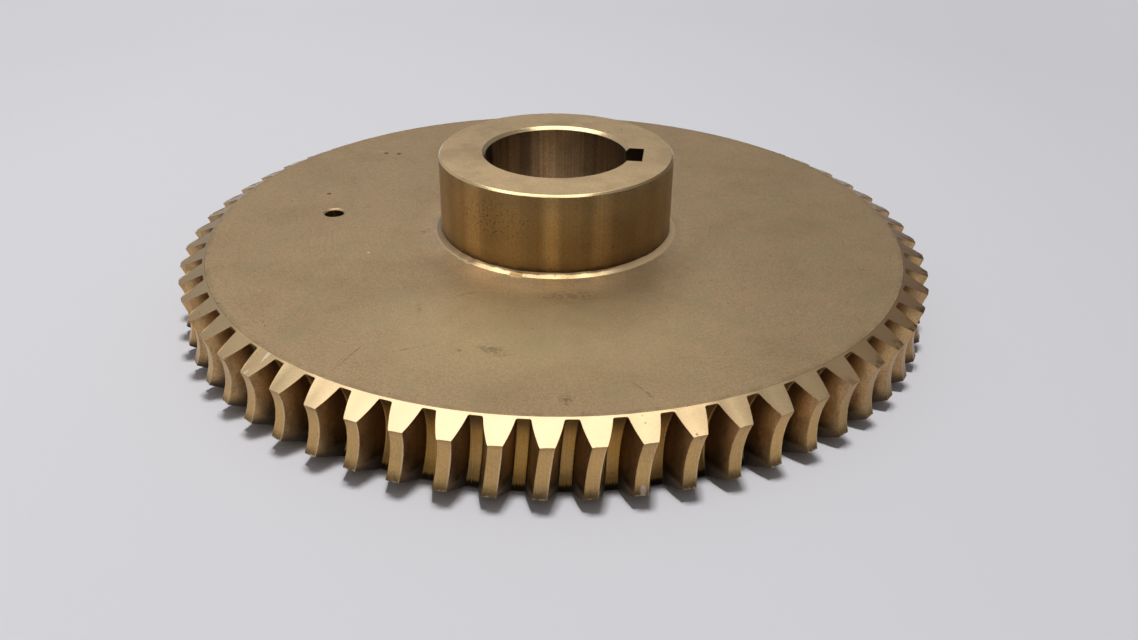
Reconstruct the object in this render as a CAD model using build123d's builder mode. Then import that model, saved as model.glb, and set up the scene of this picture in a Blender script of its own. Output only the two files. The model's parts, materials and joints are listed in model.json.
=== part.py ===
from build123d import *
import math
import os

os.makedirs("parts", exist_ok=True)

# Bronze worm wheel, one casting turned all over, with teeth hobbed for a single-start worm.
# Origin: the bore's axis on the flat back face that the wheel lies on.
# +Z runs along the bore to the hub's nose, +X through the keyway, which a tooth lines up with.
# Everything is in millimetres, but the wheel was made to inch sizes.
INCH = 25.4

# Teeth, right-handed, and the worm that they run with
TEETH = 60
DIAMETRAL_PITCH = 6  # teeth per inch of pitch diameter
PRESSURE_ANGLE = 20
BACKLASH = 0.012 * INCH  # how much wider the spaces are than the worm's thread
WORM_STARTS = 1
WORM_PITCH_DIAMETER = 1.5 * INCH

# Rim and web
FACE_WIDTH = 1.0 * INCH  # thickness of the solid web, and of the rim at its foot
THROAT_DEPTH = 0.112 * INCH  # how far the tooth tips are hollowed to go round the worm
END_BEVEL_ANGLE = 23.5  # slope of the teeth's ends from the flat faces

# Hub, on one side only
HUB_DIAMETER = 3.3125 * INCH
HUB_PROJECTION = 1.165 * INCH
HUB_FOOT_RADIUS = 0.078 * INCH
HUB_CHAMFER = 0.03125 * INCH

# Bore and keyway
BORE_DIAMETER = 2.0 * INCH
BORE_CHAMFER = 0.047 * INCH
KEYWAY_WIDTH = 0.5 * INCH
KEYWAY_DEPTH = 0.255 * INCH  # at the keyway's sides: half the key's height and 0.005 inch over

# Drilled hole through the web, straight across from the keyway
HOLE_DIAMETER = 0.28 * INCH
HOLE_COUNTERSINK_DIAMETER = 0.33 * INCH
HOLE_COUNTERSINK_ANGLE = 90
HOLE_CIRCLE_RADIUS = 3.333 * INCH

# Worked out from the tooth sizes
circular_pitch = math.pi * INCH / DIAMETRAL_PITCH
addendum = INCH / DIAMETRAL_PITCH
dedendum = 1.157 * addendum
pitch_radius = TEETH * addendum / 2
worm_pitch_radius = WORM_PITCH_DIAMETER / 2
centre_distance = pitch_radius + worm_pitch_radius
lead_angle = math.atan(WORM_STARTS * addendum / WORM_PITCH_DIAMETER)

# Worked out for the rim: the tips are hollowed by a cylinder about the worm's axis, and the
# blank's bevels run on past them to the blank's own rim
middle = FACE_WIDTH / 2
bevel_slope = math.tan(math.radians(END_BEVEL_ANGLE))
tip_arc_radius = worm_pitch_radius - addendum
tip_half_width = math.sqrt(tip_arc_radius**2 - (tip_arc_radius - THROAT_DEPTH) ** 2)
outside_radius = centre_distance - tip_arc_radius + THROAT_DEPTH
flat_radius = outside_radius - (middle - tip_half_width) / bevel_slope
blank_radius = outside_radius + addendum / 4
blank_bevel = (blank_radius - flat_radius) * bevel_slope

# Worked out for the hub and bore
hub_radius = HUB_DIAMETER / 2
bore_radius = BORE_DIAMETER / 2
overall_length = FACE_WIDTH + HUB_PROJECTION
keyway_floor = math.sqrt(bore_radius**2 - (KEYWAY_WIDTH / 2) ** 2) + KEYWAY_DEPTH


# The space between two teeth: the worm's thread as a ring about the worm's axis, tilted by
# the lead angle. Its section is drawn with x along that axis and y towards the wheel, and
# runs on past the tooth tips.
worm_centre = (centre_distance, 0, middle)
worm_direction = (0, math.cos(lead_angle), -math.sin(lead_angle))
tooth_direction = (0, math.sin(lead_angle), math.cos(lead_angle))
section_plane = Plane(worm_centre, x_dir=worm_direction, z_dir=tooth_direction)

space_bottom = worm_pitch_radius + dedendum
space_top = tip_arc_radius - addendum / 2
flank_slope = math.tan(math.radians(PRESSURE_ANGLE))
half_space = circular_pitch / 4 + BACKLASH / 2
half_space_at_bottom = half_space - (space_bottom - worm_pitch_radius) * flank_slope
half_space_at_top = half_space + (worm_pitch_radius - space_top) * flank_slope

with BuildPart() as tooth_space:
    with BuildSketch(section_plane):
        with BuildLine():
            Polyline(
                (-half_space_at_bottom, space_bottom),
                (half_space_at_bottom, space_bottom),
                (half_space_at_top, space_top),
                (-half_space_at_top, space_top),
                close=True,
            )
        make_face()
    revolve(axis=Axis(worm_centre, worm_direction))

# The hollow of one tooth's tip, square to the wheel and reaching into the spaces beside it
with BuildPart() as tip_hollow:
    with Locations(worm_centre):
        Cylinder(tip_arc_radius, 1.2 * circular_pitch, rotation=(90, 0, 0))

with BuildPart() as worm_wheel:
    # Turned blank
    with BuildSketch(Plane.XZ) as blank_section:
        with BuildLine():
            Polyline(
                (blank_radius, blank_bevel),
                (flat_radius, 0),
                (bore_radius, 0),
                (bore_radius, overall_length),
                (hub_radius, overall_length),
                (hub_radius, FACE_WIDTH),
                (flat_radius, FACE_WIDTH),
                (blank_radius, FACE_WIDTH - blank_bevel),
                close=True,
            )
        make_face()
        hub_foot = blank_section.vertices().group_by(Axis.X)[1].sort_by(Axis.Y)[0]
        fillet(hub_foot, HUB_FOOT_RADIUS)
        hub_nose = blank_section.vertices().group_by(Axis.Y)[-1].sort_by(Axis.X)[-1]
        chamfer(hub_nose, HUB_CHAMFER)
        bore_ends = blank_section.vertices().group_by(Axis.X)[0]
        chamfer(bore_ends, BORE_CHAMFER)
    revolve(axis=Axis.Z)

    # Keyway, broached through the whole bore
    with BuildSketch():
        with Locations((keyway_floor / 2, 0)):
            Rectangle(keyway_floor, KEYWAY_WIDTH)
    extrude(amount=overall_length, mode=Mode.SUBTRACT)

    # Hole, countersunk on the hub side
    with Locations((-HOLE_CIRCLE_RADIUS, 0, FACE_WIDTH)):
        CounterSinkHole(
            HOLE_DIAMETER / 2,
            HOLE_COUNTERSINK_DIAMETER / 2,
            counter_sink_angle=HOLE_COUNTERSINK_ANGLE,
        )

    # Teeth: their tips, and the spaces half a pitch away on each side
    with PolarLocations(0, TEETH):
        add(tip_hollow.part, mode=Mode.SUBTRACT)
    with PolarLocations(0, TEETH, start_angle=180 / TEETH):
        add(tooth_space.part, mode=Mode.SUBTRACT)

worm_wheel.part.label = "worm_wheel"
export_step(worm_wheel.part, "parts/worm_wheel.step")
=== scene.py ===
import json
import math
import bpy
from mathutils import Matrix

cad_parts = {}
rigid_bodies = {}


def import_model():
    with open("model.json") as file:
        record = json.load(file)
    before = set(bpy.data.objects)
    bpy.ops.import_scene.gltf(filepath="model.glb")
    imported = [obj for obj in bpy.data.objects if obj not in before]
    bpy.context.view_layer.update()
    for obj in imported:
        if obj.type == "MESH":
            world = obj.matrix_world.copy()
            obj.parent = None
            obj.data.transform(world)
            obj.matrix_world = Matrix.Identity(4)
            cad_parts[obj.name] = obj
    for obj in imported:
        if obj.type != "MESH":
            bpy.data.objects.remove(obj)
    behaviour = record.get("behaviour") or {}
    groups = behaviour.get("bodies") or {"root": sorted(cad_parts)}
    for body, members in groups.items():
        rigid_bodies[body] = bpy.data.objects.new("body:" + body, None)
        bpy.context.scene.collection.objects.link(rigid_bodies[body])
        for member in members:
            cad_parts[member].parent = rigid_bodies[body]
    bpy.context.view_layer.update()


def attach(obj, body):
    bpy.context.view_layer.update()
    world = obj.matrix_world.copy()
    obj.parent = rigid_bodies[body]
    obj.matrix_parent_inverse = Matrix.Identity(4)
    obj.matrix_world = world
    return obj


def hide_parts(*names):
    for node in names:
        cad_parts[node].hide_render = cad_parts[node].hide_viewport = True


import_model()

INCH = 0.0254

# The teeth. The mouth and bottom of a space are measured from the worm's axis.
TEETH = 60
TOOTH_ANGLE = math.radians(360 / TEETH)
FACE_WIDTH = 1.0 * INCH
MIDDLE = FACE_WIDTH / 2
WORM_AXIS_RADIUS = 5.75 * INCH
WORM_CLIMB = 0.067 * INCH  # of the thread, for each radian about the worm's axis
TIP_HALF_WIDTH = 0.3437 * INCH
TIP_RADIUS = 5.279 * INCH
TIP_HOLLOW = 0.825 * INCH  # radius of the hollow in the tips
TIP_EDGE = 0.1955 * INCH  # from the middle of a space to the edge of a tip
HOLLOW_AXIS_RADIUS = TIP_RADIUS + math.sqrt(TIP_HOLLOW**2 - TIP_HALF_WIDTH**2)
SPACE_MOUTH = 0.50 * INCH
SPACE_BOTTOM = 0.93 * INCH
SPACE_HALF_BOTTOM = 0.078 * INCH
SPACE_CORNER = 0.025 * INCH
SPACE_SLOPE = 0.222
SPACE_FLARE = 0.34 / INCH  # times the square of the height above the bottom
MIDDLE_NARROWING = 0.41  # the share of the flare that is missing half-way along the teeth
NARROWING_REACH = math.radians(36)
THREAD_REACH = math.radians(44)  # either way about the worm's axis

# The web, hub, bore, keyway and drilled hole.
FLAT_RADIUS = 4.919 * INCH
HUB_RADIUS = 3.3125 / 2 * INCH
HUB_TOP = 2.165 * INCH
HUB_CHAMFER = 0.03125 * INCH
BORE_RADIUS = 1.0 * INCH
BORE_CHAMFER = 0.047 * INCH
KEYWAY_WIDTH = 0.5 * INCH
KEYWAY_FLOOR = 1.2232 * INCH
HOLE_RADIUS = 0.14 * INCH
HOLE_RIM = 0.165 * INCH
HOLE_CIRCLE = 3.333 * INCH

# The turned foot of the hub: the web curves up to a cone, and a small round leads into the wall.
HUB_FOOT = 0.078 * INCH
# Radius and rise above the web, in inches.
FOOT_DISH = ((2.05, 0.0), (1.93, 0.002), (1.85, 0.005), (1.79, 0.010), (1.742, 0.016))
FOOT_EDGE = FOOT_DISH[-1][0] * INCH
FOOT_SLOPE = math.radians(29.5)
FOOT_ROUND = 0.016 * INCH
FOOT_TOP_RADIUS = HUB_RADIUS + FOOT_ROUND * (1 - math.sin(FOOT_SLOPE))
HUB_FOOT_RISE = FOOT_DISH[-1][1] * INCH + (FOOT_EDGE - FOOT_TOP_RADIUS) * math.tan(FOOT_SLOPE)

# How finely the shapes are drawn.
STEPS_PER_TOOTH = 4
HOLLOW_STEPS = 16
THREAD_STEPS = 24
FLANK_STEPS = 7
CORNER_STEPS = 5
WEB_STEPS = 6
FOOT_STEPS = 4
HOLE_STEPS = 48
SAME_POINT = 1e-5
ON_SIDE = 1e-4  # radians
CROWDED = 0.00032  # points on the edge of a tip that are nearer than this become one
EDGE_ROUND = 0.00013


def deselect_everything():
    for thing in bpy.data.objects:
        thing.select_set(False)


def make_active(thing):
    deselect_everything()
    bpy.context.view_layer.objects.active = thing
    thing.select_set(True)


def edit(thing):
    make_active(thing)
    bpy.ops.object.mode_set(mode="EDIT")


def leave_edit():
    bpy.ops.object.mode_set(mode="OBJECT")


def start_outline(name, first):
    """One loose vertex in edit mode, from which an outline is drawn."""
    deselect_everything()
    bpy.ops.mesh.primitive_plane_add(size=0.01)
    thing = bpy.context.object
    thing.name = name
    bpy.ops.object.mode_set(mode="EDIT")
    bpy.ops.mesh.select_mode(type="VERT")
    bpy.ops.mesh.merge(type="CENTER")
    bpy.ops.transform.translate(value=first)
    return thing


def draw_through(points):
    """Extrudes the live end of the outline through the points in turn."""
    for here, there in zip(points, points[1:]):
        move = tuple(b - a for a, b in zip(here, there))
        bpy.ops.mesh.extrude_region_move(TRANSFORM_OT_translate={"value": move})


def sweep(angle, steps, centre, axis):
    """Spins what is selected, counter-clockwise as seen with the axis pointing at the eye."""
    bpy.ops.mesh.spin(steps=steps, angle=-angle, center=centre, axis=axis)


def join_ends():
    bpy.ops.mesh.select_all(action="SELECT")
    bpy.ops.mesh.remove_doubles(threshold=SAME_POINT)


def cap_loop(thing, on_loop):
    """Fills the open outline whose vertices all pass the test."""
    leave_edit()
    mesh = thing.data
    for v in mesh.vertices:
        v.select = False
    for edge in mesh.edges:
        edge.select = False
    for face in mesh.polygons:
        face.select = False
    for edge in mesh.edges:
        edge.select = all(on_loop(mesh.vertices[i].co) for i in edge.vertices)
    bpy.ops.object.mode_set(mode="EDIT")
    bpy.ops.mesh.select_mode(type="EDGE")
    bpy.ops.mesh.edge_face_add()


def close_solid():
    bpy.ops.mesh.select_all(action="SELECT")
    bpy.ops.mesh.normals_make_consistent(inside=False)
    leave_edit()


def turn(angle, axis):
    """Turns what is selected about one of the axes, right-handed."""
    bpy.ops.transform.rotate(value=-angle, orient_axis=axis, orient_type="GLOBAL",
                             center_override=(0, 0, 0))


def cut(thing, cutter):
    """Takes the cutter's shape out of the thing and removes the cutter."""
    make_active(thing)
    knife = thing.modifiers.new("cut", "BOOLEAN")
    knife.operation = "DIFFERENCE"
    knife.solver = "EXACT"
    knife.object = cutter
    bpy.ops.object.modifier_apply(modifier=knife.name)
    bpy.data.objects.remove(cutter)


def evenly(a, b, parts):
    """Points that cut the way from a to b into equal parts, both ends included."""
    return [tuple(p + (q - p) * i / parts for p, q in zip(a, b)) for i in range(parts + 1)]


def blank_wedge():
    """The turned blank over one tooth, from half a tooth before +X to half a tooth after it."""
    start = (BORE_RADIUS + BORE_CHAMFER, 0, 0)
    dish = [(radius * INCH, 0, FACE_WIDTH + rise * INCH) for radius, rise in FOOT_DISH]
    half_hollow = math.asin(TIP_HALF_WIDTH / TIP_HOLLOW)
    blank = start_outline("blank", start)
    draw_through(evenly(start, (FLAT_RADIUS, 0, 0), WEB_STEPS)
                 + [(TIP_RADIUS, 0, MIDDLE - TIP_HALF_WIDTH)])
    sweep(2 * half_hollow, HOLLOW_STEPS, (HOLLOW_AXIS_RADIUS, 0, MIDDLE), (0, 1, 0))
    draw_through([(TIP_RADIUS, 0, MIDDLE + TIP_HALF_WIDTH)]
                 + evenly((FLAT_RADIUS, 0, FACE_WIDTH), dish[0], WEB_STEPS))
    draw_through(dish + [(FOOT_TOP_RADIUS, 0, FACE_WIDTH + HUB_FOOT_RISE)])
    wall_foot = FACE_WIDTH + HUB_FOOT_RISE + FOOT_ROUND * math.cos(FOOT_SLOPE)
    sweep(math.radians(90) - FOOT_SLOPE, FOOT_STEPS,
          (HUB_RADIUS + FOOT_ROUND, 0, wall_foot), (0, 1, 0))
    draw_through([(HUB_RADIUS, 0, wall_foot),
                  (HUB_RADIUS, 0, HUB_TOP - HUB_CHAMFER),
                  (HUB_RADIUS - HUB_CHAMFER, 0, HUB_TOP),
                  (BORE_RADIUS + BORE_CHAMFER, 0, HUB_TOP),
                  (BORE_RADIUS, 0, HUB_TOP - BORE_CHAMFER),
                  (BORE_RADIUS, 0, BORE_CHAMFER),
                  start])
    join_ends()
    turn(-TOOTH_ANGLE / 2, "Z")
    sweep(TOOTH_ANGLE, STEPS_PER_TOOTH, (0, 0, 0), (0, 0, 1))
    for side in (-1, 1):
        edge_angle = side * TOOTH_ANGLE / 2
        cap_loop(blank, lambda p: abs(math.atan2(p.y, p.x) - edge_angle) < ON_SIDE)
    close_solid()
    return blank


def flare(distance):
    """How much wider than straight-sided a space is, each side, at the ends of the teeth."""
    return SPACE_FLARE * (SPACE_BOTTOM - distance) ** 2


def space_half_width(distance):
    """Half the width of a space at the ends of the teeth, at a distance from the worm's axis."""
    return SPACE_HALF_BOTTOM + SPACE_SLOPE * (SPACE_BOTTOM - distance) + flare(distance)


def narrow_middle(cutter):
    """Half-way along the teeth the spaces flare three fifths as much as at their ends."""
    most = flare(SPACE_MOUTH)
    for side in (-1, 1):
        flank = cutter.vertex_groups.new(name="flank")
        for v in cutter.data.vertices:
            swing = math.atan2(v.co.z, -v.co.x)
            if (v.co.y - WORM_CLIMB * swing) * side > 0:
                nearness = max(0, 1 - (swing / NARROWING_REACH) ** 2)
                share = flare(math.hypot(v.co.x, v.co.z)) / most
                flank.add([v.index], nearness * share, "REPLACE")
        push = cutter.modifiers.new("narrow_middle", "DISPLACE")
        push.vertex_group = flank.name
        push.direction = "Y"
        push.mid_level = 0
        push.strength = -side * MIDDLE_NARROWING * most
        bpy.ops.object.modifier_apply(modifier=push.name)
        cutter.vertex_groups.clear()


def space_cutter(side):
    """The worm's thread, which clears the space on one side of the tooth and climbs as it turns."""
    depth = SPACE_BOTTOM - SPACE_CORNER - SPACE_MOUTH
    flank = [SPACE_MOUTH + depth * i / FLANK_STEPS for i in range(FLANK_STEPS + 1)]
    left = [(-d, -space_half_width(d), 0) for d in flank]
    floor_half = space_half_width(flank[-1]) - SPACE_CORNER
    for i in range(1, CORNER_STEPS):
        swing = math.radians(90) * i / CORNER_STEPS
        left.append((-SPACE_BOTTOM + SPACE_CORNER * (1 - math.sin(swing)),
                     -floor_half - SPACE_CORNER * math.cos(swing), 0))
    left.append((-SPACE_BOTTOM, -floor_half, 0))
    right = [(x, -y, z) for x, y, z in reversed(left)]
    cutter = start_outline("space_cutter", left[0])
    draw_through(left + [(-SPACE_BOTTOM, 0, 0)] + right + [left[0]])
    join_ends()
    turn(-THREAD_REACH, "Y")
    bpy.ops.transform.translate(value=(0, -WORM_CLIMB * THREAD_REACH, 0))
    leave_edit()
    thread = cutter.modifiers.new("thread", "SCREW")
    thread.axis = "Y"
    thread.angle = 2 * THREAD_REACH
    thread.screw_offset = 2 * THREAD_REACH * WORM_CLIMB
    thread.steps = thread.render_steps = THREAD_STEPS
    thread.use_smooth_shade = False
    bpy.ops.object.modifier_apply(modifier=thread.name)
    narrow_middle(cutter)
    for end in (-1, 1):
        cap_loop(cutter, lambda p: abs(math.atan2(p.z, -p.x) - end * THREAD_REACH) < ON_SIDE)
    bpy.ops.mesh.select_all(action="SELECT")
    bpy.ops.transform.translate(value=(WORM_AXIS_RADIUS, 0, MIDDLE))
    turn(side * TOOTH_ANGLE / 2, "Z")
    close_solid()
    return cutter


def merge_tip_edges(wedge):
    """Where a step of the thread and one of the tip's hollow nearly meet, one point is enough."""
    edit(wedge)
    bpy.ops.mesh.select_mode(type="VERT")
    bpy.ops.mesh.select_all(action="DESELECT")
    leave_edit()
    for v in wedge.data.vertices:
        from_hollow = math.hypot(HOLLOW_AXIS_RADIUS - math.hypot(v.co.x, v.co.y), v.co.z - MIDDLE)
        v.select = abs(from_hollow - TIP_HOLLOW) < 0.008 * INCH
    bpy.ops.object.mode_set(mode="EDIT")
    bpy.ops.mesh.remove_doubles(threshold=CROWDED)
    leave_edit()


def open_sides(wedge):
    """Takes away the two cut sides of the wedge, so that copies of it join up."""
    edit(wedge)
    bpy.ops.mesh.select_all(action="DESELECT")
    bpy.ops.mesh.select_mode(type="FACE")
    leave_edit()
    mesh = wedge.data
    for face in mesh.polygons:
        corners = [mesh.vertices[i].co for i in face.vertices]
        face.select = all(abs(abs(math.atan2(p.y, p.x)) - TOOTH_ANGLE / 2) < 1e-5 for p in corners)
    bpy.ops.object.mode_set(mode="EDIT")
    bpy.ops.mesh.delete(type="FACE")
    leave_edit()


def keyway_cutter():
    """A block from the axis to the keyway's floor, longer than the bore."""
    deselect_everything()
    length = HUB_TOP + 0.4 * INCH
    bpy.ops.mesh.primitive_cube_add(size=1, location=(KEYWAY_FLOOR / 2, 0, HUB_TOP / 2))
    bpy.ops.transform.resize(value=(KEYWAY_FLOOR, KEYWAY_WIDTH, length))
    bpy.ops.object.transform_apply(location=True, rotation=True, scale=True)
    return bpy.context.object


def hole_cutter():
    """A drill with its countersink, standing in the web across the bore from the keyway."""
    spot = -HOLE_CIRCLE
    sink = HOLE_RIM - HOLE_RADIUS
    over = 0.1 * INCH
    drill = start_outline("drill", (spot, 0, -over))
    draw_through([(spot, 0, -over), (spot + HOLE_RADIUS, 0, -over),
                  (spot + HOLE_RADIUS, 0, FACE_WIDTH - sink),
                  (spot + HOLE_RIM + over, 0, FACE_WIDTH + over), (spot, 0, FACE_WIDTH + over)])
    bpy.ops.mesh.select_all(action="SELECT")
    sweep(math.radians(360), HOLE_STEPS, (spot, 0, 0), (0, 0, 1))
    join_ends()
    close_solid()
    return drill


def ragged_foot(thing):
    """The turned foot of the hub has a ragged lip, where the tool came away from the wall."""
    make_active(thing)
    low = FACE_WIDTH + 0.6 * HUB_FOOT_RISE
    high = FACE_WIDTH + HUB_FOOT_RISE + 1.2 * FOOT_ROUND
    near = HUB_RADIUS - SAME_POINT
    far = HUB_RADIUS + HUB_FOOT
    lip = thing.vertex_groups.new(name="lip")
    lip.add([v.index for v in thing.data.vertices
             if low < v.co.z < high and near < math.hypot(v.co.x, v.co.y) < far], 1, "ADD")
    grit = bpy.data.textures.new("lip_grit", "CLOUDS")
    grit.noise_scale = 0.0035
    grit.noise_depth = 2
    push = thing.modifiers.new("ragged_lip", "DISPLACE")
    push.texture = grit
    push.texture_coords = "LOCAL"
    push.vertex_group = lip.name
    push.direction = "Z"
    push.mid_level = 0.45
    push.strength = 0.0005
    bpy.ops.object.modifier_apply(modifier=push.name)
    thing.vertex_groups.clear()


def break_edges(thing):
    """Every sharp edge gets a small round, as a file and handling leave it."""
    make_active(thing)
    soften = thing.modifiers.new("broken_edges", "BEVEL")
    soften.width = EDGE_ROUND
    soften.segments = 2
    soften.limit_method = "ANGLE"
    soften.angle_limit = math.radians(21)
    soften.use_clamp_overlap = False
    soften.miter_outer = "MITER_SHARP"
    bpy.ops.object.modifier_apply(modifier=soften.name)
    bpy.ops.object.shade_smooth_by_angle(angle=math.radians(40))
    even = thing.modifiers.new("even_shading", "WEIGHTED_NORMAL")
    even.keep_sharp = True
    even.weight = 100
    bpy.ops.object.modifier_apply(modifier=even.name)


def toothed_wheel():
    """One tooth is cut from its wedge of the blank, then sixty of them are joined in a ring."""
    wheel = blank_wedge()
    for side in (-1, 1):
        cut(wheel, space_cutter(side))
    merge_tip_edges(wheel)
    open_sides(wheel)
    edit(wheel)
    bpy.ops.mesh.select_all(action="SELECT")
    bpy.ops.mesh.spin(steps=TEETH - 1, dupli=True, angle=TOOTH_ANGLE * (TEETH - 1),
                      center=(0, 0, 0), axis=(0, 0, 1))
    bpy.ops.mesh.select_all(action="SELECT")
    bpy.ops.mesh.remove_doubles(threshold=2e-5)
    bpy.ops.mesh.normals_make_consistent(inside=False)
    leave_edit()
    return wheel


class Nodes:
    """The node tree of a material or of the air, with short names for the steps it is made of."""

    def __init__(self, owner, ending):
        owner.use_nodes = True
        self.tree = owner.node_tree
        self.shader = self.tree.nodes[ending]
        self.coordinates = self.add("ShaderNodeTexCoord")
        self.place = self.coordinates.outputs["Object"]

    def add(self, kind):
        return self.tree.nodes.new(kind)

    def wire(self, source, socket):
        if hasattr(source, "is_output"):
            self.tree.links.new(source, socket)
        else:
            socket.default_value = source

    def split(self, source):
        step = self.add("ShaderNodeSeparateXYZ")
        self.wire(source, step.inputs[0])
        return step.outputs

    def maths(self, kind, a, b=0.0, c=None):
        step = self.add("ShaderNodeMath")
        step.operation = kind
        self.wire(a, step.inputs[0])
        self.wire(b, step.inputs[1])
        if c is not None:
            self.wire(c, step.inputs[2])
        return step.outputs[0]

    def both(self, a, b):
        """The two multiplied."""
        return self.maths("MULTIPLY", a, b)

    def either(self, a, b):
        """The larger of the two."""
        return self.maths("MAXIMUM", a, b)

    def vector(self, kind, a, b=(0, 0, 0), output="Vector"):
        step = self.add("ShaderNodeVectorMath")
        step.operation = kind
        self.wire(a, step.inputs[0])
        self.wire(b, step.inputs[1])
        return step.outputs[output]

    def ramp(self, value, low, high, at_low=0.0, at_high=1.0, course="SMOOTHSTEP"):
        """Runs from at_low to at_high while the value goes from low to high, and is flat beyond."""
        step = self.add("ShaderNodeMapRange")
        step.interpolation_type = course
        for socket, source in zip(step.inputs, (value, low, high, at_low, at_high)):
            self.wire(source, socket)
        return step.outputs[0]

    def between(self, amount, a, b):
        """The number a where the amount is 0 and b where it is 1."""
        step = self.add("ShaderNodeMix")
        self.wire(amount, step.inputs["Factor"])
        self.wire(a, step.inputs["A"])
        self.wire(b, step.inputs["B"])
        return step.outputs["Result"]


class Finish(Nodes):
    """A bronze finish, built up layer by layer from patterns in the wheel's own coordinates."""

    def __init__(self, name, tint, roughness):
        self.material = bpy.data.materials.new(name)
        super().__init__(self.material, "Principled BSDF")
        self.x, self.y, self.z = self.split(self.place)
        flat = self.vector("MULTIPLY", self.place, (1, 1, 0))
        self.radius = self.vector("LENGTH", flat, output="Value")
        self.around = self.maths("ARCTAN2", self.y, self.x)
        self.tint = self.add("ShaderNodeRGB").outputs[0]
        self.tint.default_value = tint
        self.rough = roughness
        self.metal = 1.0
        self.heights = []

    def cloud(self, size, detail=3.0, stretch=(1, 1, 1), turn=0.0, seed=0.0):
        """Soft noise whose blots are about size across, in metres; stretched where asked."""
        lay = self.add("ShaderNodeMapping")
        lay.inputs["Location"].default_value = (seed, seed * 0.37, seed * 0.71)
        lay.inputs["Rotation"].default_value = (0, 0, turn)
        lay.inputs["Scale"].default_value = tuple(1 / (size * k) for k in stretch)
        self.wire(self.place, lay.inputs[0])
        noise = self.add("ShaderNodeTexNoise")
        noise.inputs["Scale"].default_value = 1
        noise.inputs["Detail"].default_value = detail
        noise.inputs["Roughness"].default_value = 0.6
        self.wire(lay.outputs[0], noise.inputs["Vector"])
        return noise.outputs[0]

    def lines(self, along, pitch, detail=3.0):
        """Tool marks: noise that changes in one direction only, at about that pitch in metres."""
        noise = self.add("ShaderNodeTexNoise")
        noise.noise_dimensions = "1D"
        noise.inputs["Scale"].default_value = 1
        noise.inputs["Detail"].default_value = detail
        noise.inputs["Roughness"].default_value = 0.7
        self.wire(self.maths("MULTIPLY", along, 1 / pitch), noise.inputs["W"])
        return noise.outputs[0]

    def arc_length(self, radius):
        """Way along a circle of that radius about the wheel's axis."""
        return self.maths("MULTIPLY", self.around, radius)

    def blend(self, amount, tint):
        """Lays a tint over what is there, fully where the amount is 1."""
        mix = self.add("ShaderNodeMix")
        mix.data_type = "RGBA"
        self.wire(amount, mix.inputs[0])
        self.wire(self.tint, mix.inputs[6])
        self.wire(tint, mix.inputs[7])
        self.tint = mix.outputs[2]

    def shade(self, amount, low, high):
        """Multiplies the tint by low where the amount is 0, and by high where it is 1."""
        self.tint = self.vector("SCALE", self.tint)
        self.wire(self.ramp(amount, 0.0, 1.0, low, high), self.tint.node.inputs["Scale"])

    def roughen(self, amount, by):
        self.rough = self.maths("MULTIPLY_ADD", amount, by, self.rough)

    def take_off_shine(self, amount):
        """Takes the shine off: less metal and more roughness, for thick grime and for painted shade.
        """
        self.metal = self.maths("SUBTRACT", self.metal, amount)
        self.roughen(amount, 0.5)

    def raise_by(self, height, depth):
        """Adds relief; depth in metres is what the height of 0 to 1 stands for."""
        self.heights.append(self.maths("MULTIPLY", height, depth))

    def patch(self, spot, across, turn=0.0, soft=1.0):
        """1 in the middle of an elliptical patch on the wheel, 0 outside. Inches and degrees."""
        lay = self.add("ShaderNodeMapping")
        lay.vector_type = "TEXTURE"
        lay.inputs["Location"].default_value = tuple(v * INCH for v in spot)
        lay.inputs["Rotation"].default_value = (0, 0, math.radians(turn))
        lay.inputs["Scale"].default_value = tuple(v * INCH for v in across)
        self.wire(self.place, lay.inputs[0])
        reach = self.vector("LENGTH", lay.outputs[0], output="Value")
        return self.ramp(reach, 1.0, 1.0 - soft)

    def done(self):
        """Joins what was built up to the shader."""
        self.wire(self.tint, self.shader.inputs["Base Color"])
        self.wire(self.rough, self.shader.inputs["Roughness"])
        self.wire(self.metal, self.shader.inputs["Metallic"])
        if self.heights:
            total = self.heights[0]
            for more in self.heights[1:]:
                total = self.maths("ADD", total, more)
            relief = self.add("ShaderNodeBump")
            relief.inputs["Strength"].default_value = 1
            relief.inputs["Distance"].default_value = 1
            self.wire(total, relief.inputs["Height"])
            self.wire(relief.outputs[0], self.shader.inputs["Normal"])
        return self.material


TARNISH = (0.42, 0.28, 0.14, 1)
GREY_FILM = (0.34, 0.30, 0.22, 1)
ROSE = (0.60, 0.40, 0.245, 1)
OLIVE = (0.49, 0.40, 0.215, 1)
BURR = (0.78, 0.64, 0.46, 1)
SCRATCH = (0.97, 0.85, 0.60, 1)
# Oil brown is real oil and grime in most places, and painted shade in recesses, creases and under the
# teeth.
OIL_BROWN_AND_SHADE = (0.10, 0.062, 0.032, 1)
# Near black for the bottoms of the teeth and spaces by the floor: partly grime and partly painted
# shade.
SOOT_AND_SHADE_BLACK = (0.010, 0.007, 0.005, 1)
SIDE_SHADE_BRONZE = (0.50, 0.325, 0.165, 1)
RIGHT_SHADE_BRONZE = (0.50, 0.355, 0.20, 1)
BRIGHT_BRONZE = (0.80, 0.60, 0.36, 1)
YELLOW_BRONZE = (0.88, 0.66, 0.34, 1)
RED_BRONZE = (0.54, 0.31, 0.145, 1)
BROWN_BRONZE = (0.62, 0.40, 0.17, 1)
STRAW = (0.51, 0.415, 0.262, 1)


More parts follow.
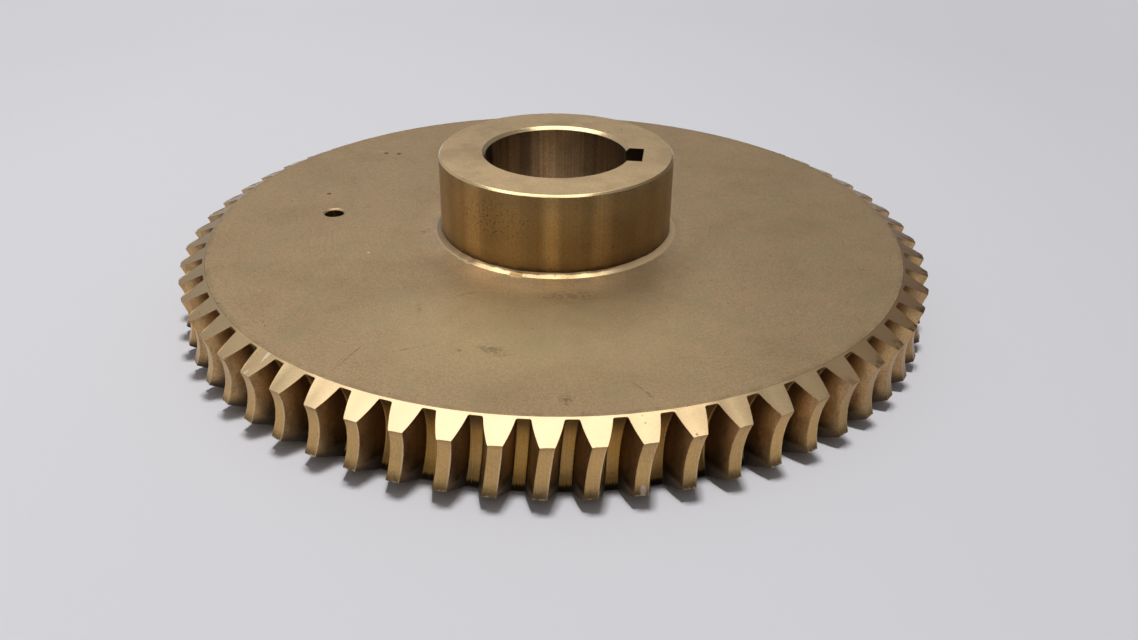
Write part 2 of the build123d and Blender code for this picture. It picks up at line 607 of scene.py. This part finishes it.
def satin_base(finish, mottle=0.5, grain=0.10):
    """What all the bronze shares: cloudy tarnish, a fine grain and a few dark specks."""
    finish.blend(finish.both(finish.ramp(finish.cloud(0.018, 5), 0.42, 0.72), mottle), TARNISH)
    fine = finish.ramp(finish.cloud(0.0006, 2), 0.32, 0.68)
    finish.shade(fine, 1 - grain / 2, 1 + grain / 2)
    finish.roughen(finish.cloud(0.006, 3, seed=3.1), 0.10)
    finish.raise_by(fine, 0.0000008)
    specks = finish.both(finish.ramp(finish.cloud(0.0011, 1, seed=7.7), 0.70, 0.78),
                         finish.ramp(finish.cloud(0.011, 2, seed=9.2), 0.50, 0.62))
    finish.blend(finish.both(specks, 0.65), OIL_BROWN_AND_SHADE)


def turned_web():
    """Flat faces: tool rings, drifting tarnish, a film round the hub, scuffs and dots, with painted
    highlights in front and round the hub's foot and painted shade on the right.
    """
    web = Finish("turned_web", (0.575, 0.408, 0.226, 1), 0.45)
    satin_base(web, 0.32, 0.21)
    web.blend(web.both(web.ramp(web.cloud(0.010, 4, seed=12.0), 0.50, 0.72), 0.45), ROSE)
    web.blend(web.both(web.ramp(web.cloud(0.013, 4, seed=17.0), 0.50, 0.72), 0.45), OLIVE)
    rings = web.lines(web.radius, 0.0009)
    web.raise_by(rings, 0.0000016)
    web.shade(rings, 0.96, 1.04)
    drift = web.cloud(0.045, 2, seed=5.0)
    web.shade(drift, 0.94, 1.06)
    for turn, seed in ((0.5, 1.3), (-0.9, 4.4), (2.2, 8.1)):
        hair = web.ramp(web.cloud(0.0012, 1, (1, 16, 1), turn, seed), 0.71, 0.76)
        here = web.ramp(web.cloud(0.02, 1, seed=seed + 2), 0.55, 0.66)
        web.blend(web.both(web.both(hair, here), 0.5), GREY_FILM)
    foot = web.ramp(web.radius, HUB_RADIUS + 0.012, HUB_RADIUS + 0.002)
    film = web.ramp(web.cloud(0.009, 4, seed=2.0), 0.35, 0.65, 0.0, 0.45)
    web.blend(web.both(foot, film), GREY_FILM)
    rim = web.both(web.ramp(web.radius, FLAT_RADIUS - 0.0022, FLAT_RADIUS - 0.0004),
                   web.ramp(web.cloud(0.004, 3, seed=6.0), 0.42, 0.6))
    web.blend(web.both(rim, 0.18), OIL_BROWN_AND_SHADE)
    # Painted highlight: the web is lighter in a ring round the hub's foot, as if lit by the bright
    # foot.
    painted_glow_by_foot = web.ramp(web.radius, HUB_RADIUS + 0.014, HUB_RADIUS + 0.002)
    web.shade(painted_glow_by_foot, 1.0, 1.20)
    # Painted highlight: the web is greener and lighter in front, and lighter still near the front of
    # the hub's foot.
    front = web.patch((0.2, -3.1, 1), (3.4, 1.9, 1), 4)
    web.blend(web.both(front, 0.4), OLIVE)
    web.shade(front, 1.0, 1.32)
    lit = web.both(web.ramp(web.radius, HUB_RADIUS + 0.022, HUB_RADIUS + 0.003),
                   web.patch((0.1, -1.7, 1), (1.6, 1.4, 1), 0, 0.6))
    web.shade(lit, 1.0, 1.42)
    # Painted shade: the web is darker towards the right.
    web.shade(web.ramp(web.x, 0.045, 0.095), 1.0, 0.93)
    ragged = web.ramp(web.cloud(0.0014, 4, seed=1.0), 0.36, 0.60)
    for spot, across, turn, strength in (
            ((0.70, -4.55, 1), (0.11, 0.17, 1), 15, 0.60),
            ((-0.27, -3.62, 1), (0.34, 0.16, 1), -20, 0.50),
            ((-0.68, -3.68, 1), (0.05, 0.05, 1), 0, 0.95),
            ((0.45, -2.15, 1), (0.75, 0.22, 1), 12, 0.35),
            ((-1.37, -2.75, 1), (0.05, 0.30, 1), 10, 0.35),
            ((-1.90, -3.99, 1), (0.022, 0.48, 1), -17, 0.60),
            ((-1.28, -3.73, 1), (0.42, 0.020, 1), 30, 0.55),
            ((1.47, -4.17, 1), (0.26, 0.018, 1), -46, 0.50),
            ((1.61, -4.34, 1), (0.14, 0.035, 1), -56, 0.45),
            ((-1.83, -0.46, 1), (0.16, 0.12, 1), 30, 0.40),
            ((-0.87, -2.28, 1), (0.24, 0.030, 1), 35, 0.45)):
        web.blend(web.both(web.both(web.patch(spot, across, turn), ragged), strength), OIL_BROWN_AND_SHADE)
    for spot, size in (((-3.633, 0.690, 1), 0.047),
                       ((-3.23, 2.55, 1), 0.055),
                       ((-3.01, 2.55, 1), 0.055)):
        web.blend(web.both(web.patch(spot, (size, size, 1), 0, 0.6), 0.8), OIL_BROWN_AND_SHADE)
    web.blend(web.both(web.patch((-3.34, 2.62, 1), (0.16, 0.035, 1), -12), 0.5), BURR)
    web.blend(web.patch((-2.45, -1.26, 1), (0.030, 0.024, 1), 20, 0.7), SCRATCH)
    return web.done()


def turned_tooth_ends():
    """The bevelled ends of the teeth: painted highlights in front, and redder and darker on the right,
    partly tarnish and grime and partly painted shade.
    """
    ends = Finish("turned_tooth_ends", (0.57, 0.415, 0.228, 1), 0.25)
    satin_base(ends, 0.35, 0.09)
    uneven = ends.both(ends.cloud(0.004, 3, seed=4.0), 0.02)
    # Redder on the right: partly tarnish, partly painted shade.
    right = ends.ramp(ends.maths("ADD", ends.x, uneven), 0.085, 0.135)
    ends.blend(ends.both(right, 0.70), RED_BRONZE)
    # Painted highlights: two patches of the ends are lighter, and the ends in front are paler.
    ends.shade(ends.patch((3.6, -3.6, 0.93), (1.5, 1.5, 1)), 1.0, 1.20)
    ends.shade(ends.patch((-3.15, -4.05, 0.93), (1.1, 1.1, 1)), 1.0, 1.25)
    ends.blend(ends.both(ends.patch((-0.3, -5.1, 0.93), (3.2, 1.5, 1)), 0.8), STRAW)
    grubby = ends.both(ends.ramp(ends.radius, 5.10 * INCH, 5.25 * INCH),
                       ends.ramp(ends.cloud(0.0025, 3, seed=6.6), 0.45, 0.65))
    ends.blend(ends.both(ends.both(grubby, right), 0.8), OIL_BROWN_AND_SHADE)
    ends.raise_by(ends.lines(ends.radius, 0.0005), 0.0000014)
    # Painted shade: the ends darken towards the bottom, under the teeth by the floor.
    low = ends.ramp(ends.z, 0.0075, 0.003)
    ends.blend(ends.both(low, 0.7), OIL_BROWN_AND_SHADE)
    for spot, across, turn in (((-2.875, -4.075, 0.96), (0.014, 0.115, 0.3), -19),
                               ((-2.840, -4.055, 0.97), (0.014, 0.085, 0.3), -24),
                               ((-3.075, -4.285, 0.86), (0.016, 0.050, 0.3), -55),
                               ((-3.045, -4.255, 0.87), (0.012, 0.045, 0.3), -35)):
        ends.blend(ends.patch(spot, across, turn, 0.6), SCRATCH)
    for spot, size in (((1.544, -4.71, 0.9), 0.014),
                       ((1.582, -4.789, 0.88), 0.018),
                       ((2.136, -4.796, 0.86), 0.022),
                       ((-0.31, -5.12, 0.91), 0.012),
                       ((2.46, -4.50, 0.91), 0.016)):
        ends.blend(ends.both(ends.patch(spot, (size, size, 0.2), 0, 0.8), 0.8), OIL_BROWN_AND_SHADE)
    return ends.done()


def turned_chamfers():
    """The chamfers of the hub and the bore, with painted light: yellower on the left and browner on
    the right.
    """
    chamfer = Finish("turned_chamfers", (0.72, 0.54, 0.30, 1), 0.17)
    satin_base(chamfer, 0.30, 0.06)
    # Painted highlight on the left, painted shade on the right.
    chamfer.blend(chamfer.ramp(chamfer.x, -1.05 * INCH, -1.45 * INCH), YELLOW_BRONZE)
    chamfer.blend(chamfer.ramp(chamfer.x, 1.05 * INCH, 1.45 * INCH), BROWN_BRONZE)
    chamfer.raise_by(chamfer.cloud(0.0012, 3, seed=5.5), 0.00002)
    return chamfer.done()


def tooth_tips():
    """The hollowed tips: cutter lines, grime and painted shade low down and a burr along one edge."""
    tips = Finish("throat_of_teeth", (0.63, 0.40, 0.16, 1), 0.30)
    satin_base(tips, 0.5, 0.14)
    cuts = tips.lines(tips.arc_length(5.2 * INCH), 0.00045)
    tips.raise_by(cuts, 0.000006)
    tips.shade(cuts, 0.80, 1.12)
    # Darker towards the bottom: partly grime, partly painted shade from the floor beneath.
    streaky = tips.both(tips.cloud(0.0012, 3, (1, 1, 3)), 0.003)
    dirt_and_low_shade = tips.ramp(tips.maths("ADD", tips.z, streaky), 0.0090, 0.0052)
    tips.blend(tips.both(dirt_and_low_shade, 0.78), OIL_BROWN_AND_SHADE)
    burr = tips.both(tips.ramp(tips.z, 0.00455, 0.00415),
                     tips.ramp(tips.cloud(0.0013, 3, seed=3.7), 0.46, 0.56))
    tips.blend(tips.both(burr, 0.75), BURR)
    tips.blend(tips.patch((1.605, -4.996, 0.20), (0.05, 0.05, 0.09), 0, 0.5), BURR)
    bearing = tips.maths("WRAP", tips.around, TOOTH_ANGLE / 2, -TOOTH_ANGLE / 2)
    swing = tips.maths("ARCTAN2", tips.maths("SUBTRACT", tips.z, MIDDLE),
                       tips.maths("SUBTRACT", WORM_AXIS_RADIUS, tips.radius))
    left_over = tips.both(tips.radius, tips.maths("SUBTRACT", TOOTH_ANGLE / 2, bearing))
    from_space = tips.maths("MULTIPLY_ADD", swing, WORM_CLIMB, left_over)
    to_edge = tips.maths("SUBTRACT", from_space, TIP_EDGE)
    wire_edge = tips.both(tips.ramp(to_edge, 0.00042, 0.00022),
                          tips.ramp(tips.cloud(0.002, 2, seed=8.8), 0.35, 0.60, 0.15, 0.50))
    tips.blend(wire_edge, BURR)
    upper = tips.ramp(tips.z, 0.0195, 0.0214)
    tips.blend(tips.both(upper, 0.22), OIL_BROWN_AND_SHADE)
    # Painted shade: the tips darken towards the right.
    tips.shade(tips.ramp(tips.x, 0.076, 0.108), 1.0, 0.66)
    return tips.done()


def worm_distance(finish):
    """How far a point is from the worm's axis."""
    across = finish.maths("SUBTRACT", WORM_AXIS_RADIUS, finish.radius)
    along = finish.maths("SUBTRACT", finish.z, MIDDLE)
    squares = finish.maths("ADD", finish.both(across, across), finish.both(along, along))
    return finish.maths("SQRT", squares)


def tooth_flanks():
    """The sides of the teeth: stained, darker towards the root with oil and painted shade, and black
    low down with grime and painted shade.
    """
    flanks = Finish("tooth_flanks", (0.58, 0.370, 0.175, 1), 0.33)
    satin_base(flanks, 0.6, 0.24)
    stain = flanks.ramp(flanks.cloud(0.0030, 4, (1, 1, 2.5), seed=21.0), 0.46, 0.66)
    flanks.blend(flanks.both(stain, 0.30), OIL_BROWN_AND_SHADE)
    cuts = flanks.lines(flanks.arc_length(5.0 * INCH), 0.0004)
    flanks.raise_by(cuts, 0.000004)
    # Darker towards the root: partly oil, partly painted shade deep in the spaces.
    deep = flanks.ramp(worm_distance(flanks), 0.64 * INCH, 0.90 * INCH)
    flanks.blend(flanks.both(deep, 0.66), OIL_BROWN_AND_SHADE)
    # Black low down and no longer shiny: partly grime, partly painted shade by the floor.
    low = flanks.ramp(flanks.z, 0.0080, 0.0032)
    flanks.blend(flanks.both(low, 0.88), SOOT_AND_SHADE_BLACK)
    flanks.take_off_shine(flanks.ramp(low, 0.55, 1.0, 0.0, 0.9))
    return flanks.done()


def space_floors():
    """The bottoms of the tooth spaces: strong cutter lines, dark at both ends."""
    floors = Finish("space_floors", (0.52, 0.285, 0.070, 1), 0.33)
    satin_base(floors, 0.5, 0.16)
    cuts = floors.lines(floors.arc_length(4.85 * INCH), 0.00035)
    floors.raise_by(cuts, 0.000006)
    floors.shade(cuts, 0.70, 1.15)
    # Painted shade: darker towards the top of the space.
    upper = floors.ramp(floors.z, 0.0165, 0.0235)
    floors.blend(floors.both(upper, 0.50), OIL_BROWN_AND_SHADE)
    # Black at the bottom of the space, by the floor: partly grime, partly painted shade.
    low = floors.ramp(floors.maths("ADD", floors.z, floors.both(cuts, 0.002)), 0.0036, 0.0026)
    floors.blend(floors.both(low, 0.95), SOOT_AND_SHADE_BLACK)
    return floors.done()


def hub_wall():
    """The outside of the hub: upright bands, painted highlights at some bearings, grime and painted
    shade at its foot and a patch of pits.
    """
    wall = Finish("hub_wall", (0.60, 0.41, 0.185, 1), 0.32)
    satin_base(wall, 0.40, 0.20)
    bands = wall.ramp(wall.lines(wall.arc_length(HUB_RADIUS), 0.016, 1), 0.30, 0.72)
    wall.shade(bands, 0.86, 1.06)
    # Painted light: the wall is lighter at these bearings and darker between them.
    glow = 0.0
    for bearing, width in ((-125, 0.26), (-85, 0.20), (-61, 0.26), (40, 0.3), (120, 0.35)):
        spot = (HUB_RADIUS / INCH * math.cos(math.radians(bearing)),
                HUB_RADIUS / INCH * math.sin(math.radians(bearing)), 1.5)
        glow = wall.either(glow, wall.patch(spot, (width, width, 3)))
    wall.shade(glow, 0.68, 1.08)
    streaks = wall.lines(wall.arc_length(HUB_RADIUS), 0.0008)
    wall.shade(streaks, 0.90, 1.10)
    wall.raise_by(wall.lines(wall.z, 0.0006), 0.0000012)
    # Darker towards the foot: partly grime, partly painted shade in the corner with the web.
    low = wall.ramp(wall.z, FACE_WIDTH + 0.0080, FACE_WIDTH + 0.0020)
    wall.blend(wall.both(low, 0.42), OIL_BROWN_AND_SHADE)
    wall.shade(wall.ramp(wall.z, HUB_TOP - 0.010, HUB_TOP), 1.0, 0.86)
    ragged = wall.both(wall.cloud(0.0035, 3, seed=1.9), 0.0030)
    crud = wall.ramp(wall.maths("SUBTRACT", wall.z, ragged), FACE_WIDTH + 0.0022, FACE_WIDTH + 0.0002)
    wall.blend(wall.both(crud, 0.75), OIL_BROWN_AND_SHADE)
    pits = wall.both(wall.ramp(wall.cloud(0.0008, 2, seed=3.3), 0.585, 0.64),
                     wall.patch((-0.70, -1.5, 1.72), (0.95, 0.6, 0.42), 0, 0.8))
    wall.blend(wall.both(pits, 0.8), OIL_BROWN_AND_SHADE)
    wall.raise_by(pits, -0.00003)
    return wall.done()


def hub_foot():
    """The turned foot of the hub: painted highlights in front and along the left edge, painted shade
    on the sides and the right, grime by the wall.
    """
    foot = Finish("hub_foot", (0.64, 0.47, 0.25, 1), 0.20)
    satin_base(foot, 0.3, 0.06)
    # Painted light: the foot is brighter in front, darker and browner on the sides, with a pale
    # highlight line along its left edge.
    front = foot.patch((0.10, -1.72, 1), (1.35, 1.25, 1))
    sides = foot.ramp(front, 0.35, 0.0)
    foot.blend(sides, SIDE_SHADE_BRONZE)
    line = foot.both(foot.ramp(foot.radius, 1.716 * INCH, 1.732 * INCH),
                     foot.ramp(foot.x, 0.010, -0.020))
    foot.blend(foot.both(sides, line), BRIGHT_BRONZE)
    foot.shade(front, 0.95, 1.06)
    ragged = foot.both(foot.cloud(0.0035, 3, seed=1.9), 0.0012)
    crud = foot.ramp(foot.maths("SUBTRACT", foot.radius, ragged),
                     HUB_RADIUS + 0.00050, HUB_RADIUS - 0.00010)
    foot.blend(foot.both(foot.both(crud, foot.ramp(front, 0.0, 0.3, 0.3, 1.0)), 0.9), OIL_BROWN_AND_SHADE)
    # Painted shade: darker and less shiny on the right.
    shaded_right = foot.ramp(foot.x, 0.020, 0.034)
    foot.blend(foot.both(shaded_right, 0.8), RIGHT_SHADE_BRONZE)
    foot.take_off_shine(foot.both(shaded_right, 0.7))
    foot.raise_by(foot.cloud(0.0016, 2, seed=2.2), 0.00002)
    foot.raise_by(foot.cloud(0.0060, 2, seed=4.2), 0.00002)
    return foot.done()


def hub_top():
    """The face of the hub, with painted light making it lighter towards the front."""
    top = Finish("hub_top", (0.78, 0.57, 0.31, 1), 0.40)
    satin_base(top, 0.40, 0.12)
    top.blend(top.both(top.ramp(top.cloud(0.008, 4, seed=15.0), 0.48, 0.70), 0.35), ROSE)
    rings = top.lines(top.radius, 0.0007)
    top.raise_by(rings, 0.0000016)
    top.shade(top.cloud(0.012, 3, seed=8.0), 0.90, 1.10)
    # Painted highlight: lighter towards the front.
    top.shade(top.ramp(top.y, 0.015, -0.040), 0.97, 1.18)
    return top.done()


def keyway_walls():
    """The keyway, cut with marks across it and painted dark as shade in the slot."""
    keyway = Finish("keyway_walls", (0.085, 0.058, 0.036, 1), 0.42)
    satin_base(keyway, 0.5, 0.12)
    keyway.raise_by(keyway.lines(keyway.z, 0.0004), 0.000003)
    return keyway.done()


def bore_wall():
    """The bore and the drilled hole, with fine lines along them and a painted highlight on the far
    side of the bore.
    """
    bore = Finish("bore_wall", (0.70, 0.55, 0.375, 1), 0.26)
    satin_base(bore, 0.5, 0.26)
    bore.shade(bore.ramp(bore.lines(bore.arc_length(BORE_RADIUS), 0.0019), 0.3, 0.7), 0.86, 1.14)
    bands = bore.ramp(bore.lines(bore.arc_length(BORE_RADIUS), 0.009, 1), 0.30, 0.72)
    bore.shade(bands, 0.90, 1.06)
    # Painted highlight on the far side of the bore; the rest of it is darker.
    glow = bore.patch((-0.30, 0.95, 1), (0.36, 0.36, 9))
    bore.shade(glow, 0.78, 1.30)
    bore.raise_by(bore.lines(bore.z, 0.0005), 0.000001)
    return bore.done()


FINISHES = (turned_web, turned_tooth_ends, turned_chamfers, tooth_tips, tooth_flanks,
            space_floors, hub_wall, hub_foot, hub_top, bore_wall, keyway_walls)
SLOT = {make.__name__: i for i, make in enumerate(FINISHES)}


def rim_finish(centre, r, upright, outward):
    """The finish of a face among the teeth."""
    from_worm = math.hypot(WORM_AXIS_RADIUS - r, centre.z - MIDDLE)
    from_hollow = math.hypot(HOLLOW_AXIS_RADIUS - r, centre.z - MIDDLE)
    if abs(from_hollow - TIP_HOLLOW) < 0.012 * INCH and outward > 0.7:
        return "tooth_tips"
    if upright > 0.85 and abs(centre.z - MIDDLE) > 0.33 * INCH and outward > 0.3:
        return "turned_tooth_ends"
    if from_worm > SPACE_BOTTOM - 0.3 * SPACE_CORNER and outward > 0.4:
        return "space_floors"
    return "tooth_flanks"


def finish_for(centre, normal):
    """Which finish a face has, by where on the wheel it is."""
    r = math.hypot(centre.x, centre.y)
    outward = (normal.x * centre.x + normal.y * centre.y) / r
    upright = abs(normal.z)
    if r > FLAT_RADIUS - 0.3 * INCH and upright < 0.99:
        return rim_finish(centre, r, upright, outward)
    if abs(r - HUB_RADIUS) < 0.002 * INCH and centre.z > FACE_WIDTH + HUB_FOOT_RISE:
        return "hub_wall"
    in_foot = HUB_RADIUS - 0.001 * INCH < r < FOOT_EDGE
    if in_foot and FACE_WIDTH + SAME_POINT < centre.z < FACE_WIDTH + HUB_FOOT:
        return "hub_foot"
    at_an_end = not FACE_WIDTH < centre.z < HUB_TOP - BORE_CHAMFER
    if 0.4 < upright < 0.95 and BORE_RADIUS < r < HUB_RADIUS and at_an_end:
        return "turned_chamfers"
    if centre.z > FACE_WIDTH + HUB_FOOT and r > BORE_RADIUS + 0.001 * INCH and upright > 0.5:
        return "hub_top"
    if upright < 0.5:
        in_keyway = abs(centre.y) < KEYWAY_WIDTH * 0.51
        if in_keyway and BORE_RADIUS * 0.999 < r < KEYWAY_FLOOR * 1.03:
            return "keyway_walls"
        from_drill = math.hypot(centre.x + HOLE_CIRCLE, centre.y)
        if r < BORE_RADIUS * 1.001 or from_drill < HOLE_RADIUS * 1.01:
            return "bore_wall"
    return "turned_web"


wheel = toothed_wheel()
cut(wheel, keyway_cutter())
cut(wheel, hole_cutter())
wheel.name = "bronze_wheel"
wheel.data.materials.clear()
for make in FINISHES:
    wheel.data.materials.append(make())
ragged_foot(wheel)
break_edges(wheel)
for face in wheel.data.polygons:
    face.material_index = SLOT[finish_for(face.center, face.normal)]
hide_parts("worm_wheel")
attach(wheel, "root")



def pale_paper():
    """White paper, with painted light making it a little paler on the left, and as pale far away as it
    is near the wheel.
    """
    paper = bpy.data.materials.new("pale_paper")
    sheet = Nodes(paper, "Principled BSDF")
    sheet.shader.inputs["Roughness"].default_value = 0.7
    # Painted light: the paper is paler on the left and darker on the right.
    tint = sheet.add("ShaderNodeValToRGB")
    tint.color_ramp.elements[0].color = (0.865, 0.86, 0.89, 1)
    tint.color_ramp.elements[1].color = (0.735, 0.73, 0.76, 1)
    x = sheet.split(sheet.place)[0]
    sheet.wire(sheet.ramp(x, -0.25, 0.25, course="LINEAR"), tint.inputs["Fac"])
    sheet.wire(tint.outputs["Color"], sheet.shader.inputs["Base Color"])
    distance = sheet.vector("LENGTH", sheet.place, output="Value")
    far = sheet.ramp(distance, 0.45, 2.3, 0.0, 0.37, course="LINEAR")
    path = sheet.add("ShaderNodeLightPath")
    looked_at = sheet.either(path.outputs["Is Camera Ray"], path.outputs["Is Glossy Ray"])
    sheet.shader.inputs["Emission Color"].default_value = (0.97, 0.965, 1, 1)
    sheet.wire(sheet.both(far, looked_at), sheet.shader.inputs["Emission Strength"])
    return paper


def studio_air():
    """Pale air. Metal mirrors it as a backdrop that is brighter above and to the left."""
    air = bpy.data.worlds.new("studio_air")
    room = Nodes(air, "Background")
    way = room.coordinates.outputs["Generated"]
    lean = room.vector("DOT_PRODUCT", way, (-0.21, 0.12, 0.36), output="Value")
    mirrored_air = room.maths("ADD", lean, 0.13)
    path = room.add("ShaderNodeLightPath")
    level = room.between(path.outputs["Is Glossy Ray"], 0.19, mirrored_air)
    level = room.between(path.outputs["Is Camera Ray"], level, 0.62)
    room.shader.inputs["Color"].default_value = (0.97, 0.97, 1, 1)
    room.wire(level, room.shader.inputs["Strength"])
    return air


def soft_light(name, size, spot, power):
    """A lamp that hangs over a spot and shines straight down."""
    lamp = bpy.data.lights.new(name, "AREA")
    lamp.shape = "RECTANGLE"
    lamp.size, lamp.size_y = size
    lamp.energy = power
    holder = bpy.data.objects.new(name, lamp)
    bpy.context.collection.objects.link(holder)
    holder.location = spot
    return holder


def placed_camera():
    """In front of the wheel, a little to the right, looking down at it."""
    eye = bpy.data.cameras.new("camera")
    eye.lens = 34.06
    eye.sensor_width = 36
    eye.clip_start = 0.01
    camera = bpy.data.objects.new("camera", eye)
    bpy.context.collection.objects.link(camera)
    bearing = math.radians(7.2)
    distance = 0.3662
    camera.location = (distance * math.sin(bearing), -distance * math.cos(bearing), FACE_WIDTH + 0.165)
    heading, tilt, roll = math.radians(6.352), math.radians(60.76), math.radians(0.8365)
    camera.rotation_euler = (Matrix.Rotation(heading, 4, "Z") @ Matrix.Rotation(tilt, 4, "X")
                             @ Matrix.Rotation(roll, 4, "Z")).to_euler()
    return camera


deselect_everything()
bpy.ops.mesh.primitive_plane_add(size=8, location=(0, 0, -0.0002))
floor = bpy.context.object
floor.name = "floor"
floor.data.materials.append(pale_paper())

scene = bpy.context.scene
scene.world = studio_air()
softbox = soft_light("overhead_softbox", (1.31, 0.80), (-0.19, -0.105, 1.05), 7.3)
softbox.visible_diffuse = False
ceiling = soft_light("ceiling_light", (0.28, 0.24), (0.09, 0.06, 2.1), 27.5)
ceiling.visible_glossy = False
scene.camera = placed_camera()
scene.view_settings.view_transform = "Standard"
